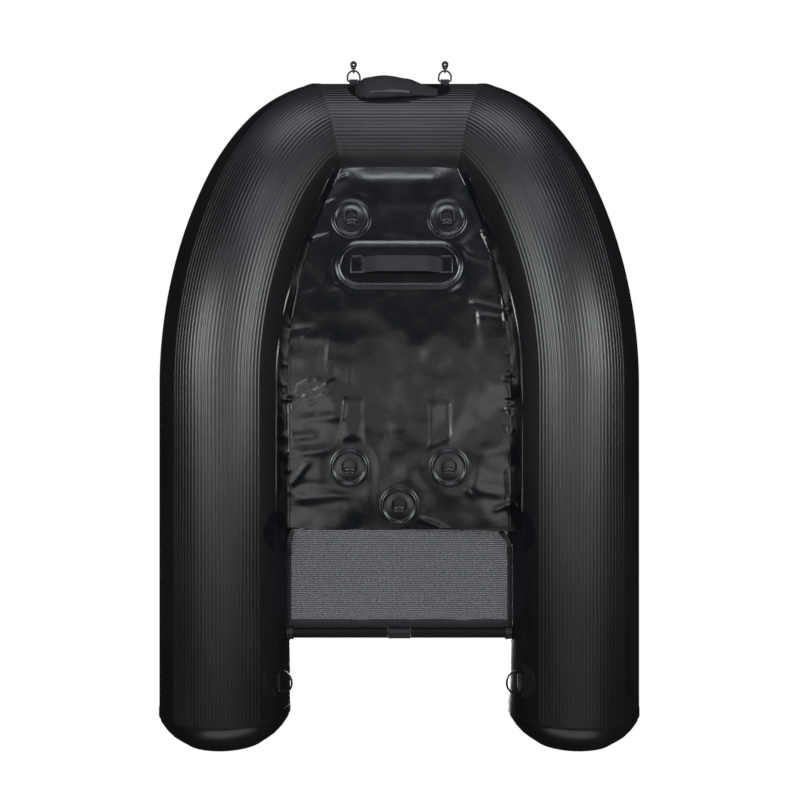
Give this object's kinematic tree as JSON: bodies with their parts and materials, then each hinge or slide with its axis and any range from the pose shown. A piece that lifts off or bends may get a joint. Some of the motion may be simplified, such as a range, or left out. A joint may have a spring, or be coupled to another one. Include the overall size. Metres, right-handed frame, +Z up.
{
  "type": "inflatable fishing belly boat",
  "caption": "One-person U-shaped inflatable fishing boat with ribbed pontoons, upturned closed bow, belly panel, high seat, folding backrest and a mesh leg support on a crossbar.",
  "frame": {"origin": "on the ground below the middle of the boat's box", "axes": "+Z up, +Y towards the closed bow, +X to starboard of the bow; the angler faces -Y, over the open end"},
  "size_m": [1.198, 1.73, 0.783],
  "materials": {
    "tube_pvc": "satin PVC-coated fabric",
    "strake_rubber": "ribbed satin PVC",
    "panel_pvc": "glossy wrinkled PVC sheet",
    "pvc_patch": "glossy welded PVC patch",
    "moulded_pvc": "moulded soft PVC",
    "seat_pvc": "satin PVC-coated fabric, sewn",
    "webbing": "woven polyester webbing",
    "mesh": "open coated mesh",
    "black_wire": "black coated steel wire",
    "black_tube": "black anodised tube",
    "moulded_plastic": "moulded nylon"
  },
  "bodies": {
    "hull": {"belly_handle": "webbing", "belly_handle_patch": "pvc_patch", "belly_panel": "panel_pvc", "belly_ring_pads": "moulded_pvc", "bow_handle": "webbing", "bow_handle_bases": "pvc_patch", "bow_strake": "strake_rubber", "bow_tube": "tube_pvc", "centre_rear_belly_ring": "black_wire", "crossbar_ferrule": "moulded_plastic", "leg_mesh": "mesh", "mesh_hem": "webbing", "port_backrest_strap": "webbing", "port_bow_ring": "black_wire", "port_bow_ring_tab": "pvc_patch", "port_carry_handle": "webbing", "port_carry_handle_bases": "pvc_patch", "port_corner_patch": "pvc_patch", "port_corner_strap": "webbing", "port_crossbar": "black_tube", "port_crossbar_socket": "moulded_plastic", "port_forward_belly_ring": "black_wire", "port_mesh_binding": "webbing", "port_panel_flange": "panel_pvc", "port_rear_belly_ring": "black_wire", "port_snap_hook": "black_wire", "port_strake": "strake_rubber", "port_strap_anchor": "pvc_patch", "port_strap_buckle": "moulded_plastic", "port_tip_cap": "tube_pvc", "port_tip_ring": "black_wire", "port_tip_ring_mount": "pvc_patch", "port_tube": "tube_pvc", "port_valve": "moulded_plastic", "seat_cushion": "seat_pvc", "starboard_backrest_strap": "webbing", "starboard_bow_ring": "black_wire", "starboard_bow_ring_tab": "pvc_patch", "starboard_carry_handle": "webbing", "starboard_carry_handle_bases": "pvc_patch", "starboard_corner_patch": "pvc_patch", "starboard_corner_strap": "webbing", "starboard_crossbar": "black_tube", "starboard_crossbar_socket": "moulded_plastic", "starboard_forward_belly_ring": "black_wire", "starboard_mesh_binding": "webbing", "starboard_panel_flange": "panel_pvc", "starboard_rear_belly_ring": "black_wire", "starboard_snap_hook": "black_wire", "starboard_strake": "strake_rubber", "starboard_strap_anchor": "pvc_patch", "starboard_strap_buckle": "moulded_plastic", "starboard_tip_cap": "tube_pvc", "starboard_tip_ring": "black_wire", "starboard_tip_ring_mount": "pvc_patch", "starboard_tube": "tube_pvc", "starboard_valve": "moulded_plastic"},
    "backrest": {"backrest": "seat_pvc", "port_backrest_tab": "pvc_patch", "starboard_backrest_tab": "pvc_patch"}
  },
  "joints": [
    {"name": "backrest_fold", "type": "hinge", "parent": "hull", "child": "backrest", "pos_m": [0, 0.116, 0.353], "axis": [1, 0, 0], "range_deg": [0, 100]}
  ]
}
